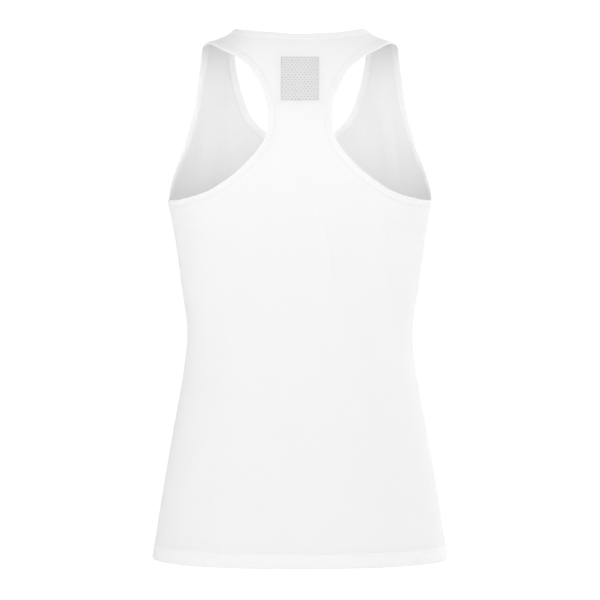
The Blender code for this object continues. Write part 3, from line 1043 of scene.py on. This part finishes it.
def seam_threads(word, seam, hand):
    """A seam's overlock inside, and the needle's thread, low between the two panels."""
    count = round(seam_ends(seam)[2] / OVERLOCK_STEP)
    inner, outer = (
        seam_line(seam, hand, away, np.interp(away, *ALLOWANCE.T) - ALLOWANCE_WALL / 2, -1)
        for away in OVERLOCK_LINES
    )
    valley = seam_line(seam, hand, 0.0, VALLEY_LIFT, 1)
    overlock = [running(inner, count), zigzag(inner, outer, count), running(outer, count)]
    return [
        make_threads(seam + "_overlock_" + word, overlock),
        make_threads(seam + "_stitching_" + word, [running(valley, count)], VALLEY_THREAD),
    ]


# ------------ bindings

# The outer face of a binding's section. share runs from the fold at the opening's edge to the
# sewn edge, and height is half of the binding's thickness there. Its two dips are the stitch rows.
BINDING_SECTION = np.array([
    # share, height
    (-0.01, 0.0), (0.0, 0.35), (0.03, 0.68), (0.08, 0.95), (0.16, 1.12), (0.28, 1.15),
    (0.38, 1.06), (0.43, 0.96), (0.48, 1.05), (0.60, 1.14), (0.72, 1.08), (0.80, 0.98),
    (0.84, 0.90), (0.88, 0.95), (0.95, 0.95), (0.99, 0.82), (1.01, 0.6), (1.0, 0.3),
])
# The point of the section along which a binding's length is counted
LENGTH_POINT = 4
STITCH_ROWS = ((0.43, 0.96), (0.84, 0.90))
STITCH_SINK = -0.02
LOOPER_ARCH = 0.28
BINDING_STEP = 2.0


def loop_paths(edge, inner, hand=None):
    """A binding's stations, from the back round to the front: the side, and the turn and down of its
    edge and of its inner edge.

    With a hand the loop is an armhole's, closed under the arm. Without one it is the neck's, and
    goes on round the other half.
    """
    halves = []
    for side in (BACK, FRONT):
        count = round(path_lengths(side, edge[side])[-1] / BINDING_STEP)
        places = even_places(side, edge[side][::-1], count)
        both = [read_path(paths[side][::-1], places) for paths in (edge, inner)]
        halves.append(np.column_stack([np.full(count + 1, side), *both]))
    loop = np.vstack([halves[0], halves[1][-2::-1]])
    if hand is None:
        return np.vstack([loop, loop[-2:0:-1] * [1, -1, 1, -1, 1]])
    return loop * [1, hand, 1, hand, 1]


def read_stations(stations, share, lift):
    """Points at these shares across a binding and heights out of the form, at each station."""
    edge, inner = stations[:, None, 1:3], stations[:, None, 3:]
    path = edge + (inner - edge) * np.array(share)[:, None]
    points = np.empty((*path.shape[:2], 3))
    for side in (FRONT, BACK):
        at = stations[:, 0] == side
        points[at] = surface(side, path[at, :, 0], path[at, :, 1], lift)
    if stations[0, 0] == stations[-1, 0]:
        return points
    # An armhole's first and last stations are the same place, at the side seam
    points[0] = (points[0] + points[-1]) / 2
    return points[:-1]


def make_binding(name, edge, inner, hand=None):
    """A binding and its stations. Its section goes out over the outer face and back over the inner."""
    stations = loop_paths(edge, inner, hand)
    section = np.vstack([BINDING_SECTION, BINDING_SECTION[:0:-1] * [1, -1]])
    points = read_stations(stations, *section.T)
    rows, columns = points.shape[:2]
    along, around = lengths_along(points[:, LENGTH_POINT])[:, None], lengths_along(points[0])
    uv = np.stack(np.broadcast_arrays(around, along), axis=-1)
    faces = grid_faces(rows, columns, close_rows=True, close_columns=True)
    if hand == RIGHT:
        faces = faces[:, ::-1]
    thing = new_mesh(name, points, faces.tolist(), uv)
    thing.data.materials.append(bound)
    # The inner face takes the lighter copy of the binding's material, which is painted light
    thing.data.materials.append(bound_inside_painted_light)
    inner_face = np.arange(len(faces)) % columns >= len(BINDING_SECTION) - 1
    thing.data.polygons.foreach_set("material_index", inner_face.astype(np.int32))
    return thing, stations


# ------------ materials


def grey(level):
    return (level, level, level, 1.0)


def set_inputs(tree, node, inputs):
    """Give a node's inputs, by name or number, these values or sockets."""
    for key, value in inputs.items():
        if isinstance(value, bpy.types.NodeSocket):
            tree.links.new(value, node.inputs[key])
        else:
            node.inputs[key].default_value = value


def add_node(tree, kind, inputs, **settings):
    """A node with these inputs and settings, and its outputs."""
    node = tree.nodes.new("ShaderNode" + kind)
    for name, value in settings.items():
        setattr(node, name, value)
    set_inputs(tree, node, inputs)
    return node.outputs


def math_node(tree, operation, *values):
    """The result of a Math node on these numbers or sockets."""
    return add_node(tree, "Math", dict(enumerate(values)), operation=operation)[0]


def shader_of(material):
    return material.node_tree.nodes["Principled BSDF"]


def plain_material(name, colour, roughness):
    material = bpy.data.materials.new(name)
    material.use_nodes = True
    inputs = {"Base Color": grey(colour), "Roughness": roughness, "Specular IOR Level": SPECULAR}
    set_inputs(material.node_tree, shader_of(material), inputs)
    return material


def flat_places(tree):
    """A point's place on the flat cloth, and its two parts."""
    places = add_node(tree, "UVMap", {}, uv_map=FLAT)[0]
    return places, *add_node(tree, "SeparateXYZ", {0: places})[:2]


def bumped(tree, height, strength, distance):
    inputs = {"Height": height, "Strength": strength, "Distance": distance * MILLIMETRE}
    return add_node(tree, "Bump", inputs)["Normal"]


def knit_height(tree, across, along, wale, course, dots):
    """The relief of a knit: loops in wales and courses, and wider-set tucked dots."""
    math_of = partial(math_node, tree)

    def wave(place, length):
        return math_of("SINE", math_of("MULTIPLY", place, 2 * math.pi / length))

    # Across half a wale the rib rises by a quarter of a wave, and then it falls again
    half = math_of("PINGPONG", math_of("MULTIPLY", across, 2 / wale), 1.0)
    rib = wave(half, 4)
    slant = math_of("MULTIPLY_ADD", half, LOOP_SLANT, math_of("MULTIPLY", along, 1 / course))
    loop = wave(slant, 1)
    tuck = math_of("MULTIPLY", wave(across, dots[0]), wave(along, dots[1]))
    tuck = math_of("MAXIMUM", tuck, 0.0)
    height = math_of("MULTIPLY_ADD", loop, LOOP_HEIGHT, math_of("MULTIPLY", rib, RIB_HEIGHT))
    return math_of("MULTIPLY_ADD", tuck, -TUCK_DEPTH, height), tuck


def knit_material(name, colour, knit, depth, sheer):
    """A knit of white yarn. sheer is the share of the light that goes through one face of it."""
    material = plain_material(name, colour, KNIT_ROUGHNESS)
    tree, shader = material.node_tree, shader_of(material)
    places, across, along = flat_places(tree)
    height, tuck = knit_height(tree, across, along, *knit)
    stretched = add_node(tree, "Mapping", {"Vector": places, "Scale": KNIT_STREAKS})[0]
    noise = {"Vector": stretched, "Scale": 1.0, "Detail": STREAK_DETAIL}
    streak = add_node(tree, "TexNoise", noise)["Fac"]

    # The tucked dots' darker colour is painted shade in their dimples; the streaks are the yarn's
    # uneven tone
    tuck_painted_shade = math_node(tree, "MULTIPLY", tuck, TUCK_PAINTED_SHADE)
    tone_and_painted_shade = math_node(tree, "MULTIPLY_ADD", streak, STREAK_TONE, tuck_painted_shade)
    tints = {"Factor": tone_and_painted_shade, "A": grey(colour + LIGHTER), "B": grey(colour - DARKER)}
    tint = add_node(tree, "Mix", tints, data_type="RGBA")["Result"]
    height = math_node(tree, "MULTIPLY_ADD", streak, STREAK_HEIGHT, height)
    normal = bumped(tree, height, KNIT_BUMP, depth)
    sheen = {"Sheen Weight": SHEEN, "Sheen Roughness": SHEEN_ROUGHNESS}
    set_inputs(tree, shader, {"Base Color": tint, "Normal": normal, **sheen})

    through = add_node(tree, "BsdfTranslucent", {"Color": tint, "Normal": normal})[0]
    mix = add_node(tree, "MixShader", {"Fac": sheer, 1: shader.outputs[0], 2: through})[0]
    set_inputs(tree, tree.nodes["Material Output"], {"Surface": mix})
    return material


def thread_material(name, colour):
    """A twisted thread: its plies run round it in a slant."""
    material = plain_material(name, colour, THREAD_ROUGHNESS)
    tree = material.node_tree
    _, round_it, along = flat_places(tree)
    turns = math_node(tree, "MULTIPLY", round_it, PLIES / (THREAD * MILLIMETRE))
    twist = math_node(tree, "MULTIPLY_ADD", along, 2 * math.pi / (PLY_PITCH * MILLIMETRE), turns)
    normal = bumped(tree, math_node(tree, "SINE", twist), THREAD_BUMP, PLY_DEPTH)
    set_inputs(tree, shader_of(material), {"Normal": normal})
    return material


# ------------ camera and stage


def make_camera():
    data = bpy.data.cameras.new("camera")
    data.sensor_width = SENSOR
    data.lens = SENSOR * CAMERA_DISTANCE / FRAME_WIDTH
    camera = bpy.data.objects.new("camera", data)
    camera.location = (0, CAMERA_DISTANCE, CAMERA_HEIGHT)
    camera.rotation_euler = (math.pi / 2, 0, math.pi)
    bpy.context.scene.collection.objects.link(camera)
    bpy.context.scene.camera = camera


def make_stage():
    bpy.ops.mesh.primitive_circle_add(
        vertices=96, radius=FLOOR_RADIUS, fill_type="NGON", location=(0, 0, FLOOR_HEIGHT)
    )
    floor = bpy.context.object
    floor.name = "floor"
    floor.data.materials.append(plain_material("floor_paint", FLOOR_GREY, 1.0))


def make_light():
    """Soft light from all round. The camera sees a plain room instead."""
    world = bpy.data.worlds.new("studio")
    bpy.context.scene.world = world
    world.use_nodes = True
    tree = world.node_tree
    math_of = partial(math_node, tree)
    x, y, z = add_node(tree, "SeparateXYZ", {0: add_node(tree, "TexCoord", {})["Generated"]})
    above = math_of("MAXIMUM", z, 0.0)
    light = math_of("MULTIPLY_ADD", above, LIGHT_ABOVE, LIGHT_ALL_ROUND)
    for *direction, power, strength in SOFT_BOXES:
        toward = 0.0
        for part, share in zip((x, y, z), direction):
            toward = math_of("MULTIPLY_ADD", part, share, toward)
        box = math_of("POWER", math_of("MAXIMUM", toward, 0.0), power)
        light = math_of("MULTIPLY_ADD", box, strength, light)
    ahead = math_of("MULTIPLY", y, -1.0)
    levels = (ahead, SCREEN_FROM, SCREEN_FULL, ROOM_GREY, SCREEN_WHITE)
    screen = add_node(tree, "MapRange", dict(enumerate(levels)))[0]
    seen = add_node(tree, "LightPath", {})["Is Camera Ray"]
    lit = math_of("MAXIMUM", light, 0.0)
    strength = add_node(tree, "Mix", {"Factor": seen, "A": lit, "B": screen})[0]
    set_inputs(tree, tree.nodes["Background"], {"Color": grey(1), "Strength": strength})


# ------------ the scene

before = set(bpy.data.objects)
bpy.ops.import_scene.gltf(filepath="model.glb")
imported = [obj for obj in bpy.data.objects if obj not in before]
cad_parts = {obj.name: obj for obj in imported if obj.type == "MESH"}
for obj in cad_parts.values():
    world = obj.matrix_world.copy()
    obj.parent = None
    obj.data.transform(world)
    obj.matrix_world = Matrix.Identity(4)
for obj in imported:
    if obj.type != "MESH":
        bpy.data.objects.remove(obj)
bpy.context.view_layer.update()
scene = bpy.context.scene
scene.view_settings.view_transform = "Standard"
make_camera()
make_light()
make_stage()

white, doubled, white_inside, bound, bound_inside_painted_light, netting_with_painted_shade, eyelet_painted_shade, netting_inside = (
    knit_material(*row) for row in KNITTED
)
thread = thread_material("white_thread", THREAD_COLOUR)

panels = {}
for name, side, node in (("front_cloth", FRONT, "front_panel"), ("back_cloth", BACK, "back_panel")):
    panels[side] = make_panel(name, side)
    if side == BACK:
        cut_window(panels[side])
    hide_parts(node)

vent = make_vent("vent_mesh")
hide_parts("back_vent")

neck, neck_stations = make_binding("neck_trim", NECK, NECK_INNER)
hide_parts("neck_binding")
sewn_on_back = [neck, binding_threads("neck_stitching", neck_stations)]
sewn_on_front = [hem_threads("hem_stitching")]
for word, hand in (("left", LEFT), ("right", RIGHT)):
    arm, arm_stations = make_binding("armhole_trim_" + word, ARM, ARM_INNER, hand)
    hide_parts("armhole_binding_" + word)
    sewn_on_front += [arm, binding_threads("armhole_stitching_" + word, arm_stations)]
    for seam, sewn in (("side", sewn_on_front), ("shoulder", sewn_on_back)):
        sewn.append(make_allowance(seam + "_allowance_" + word, seam, hand))
        sewn += seam_threads(word, seam, hand)
window = window_threads("vent_stitching")

sheets = ((panels[FRONT], sewn_on_front), (panels[BACK], sewn_on_back), (vent, [window]))
for piece, with_pieces in sheets:
    *flat, area, held = CUTS[piece.name]
    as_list(with_pieces)
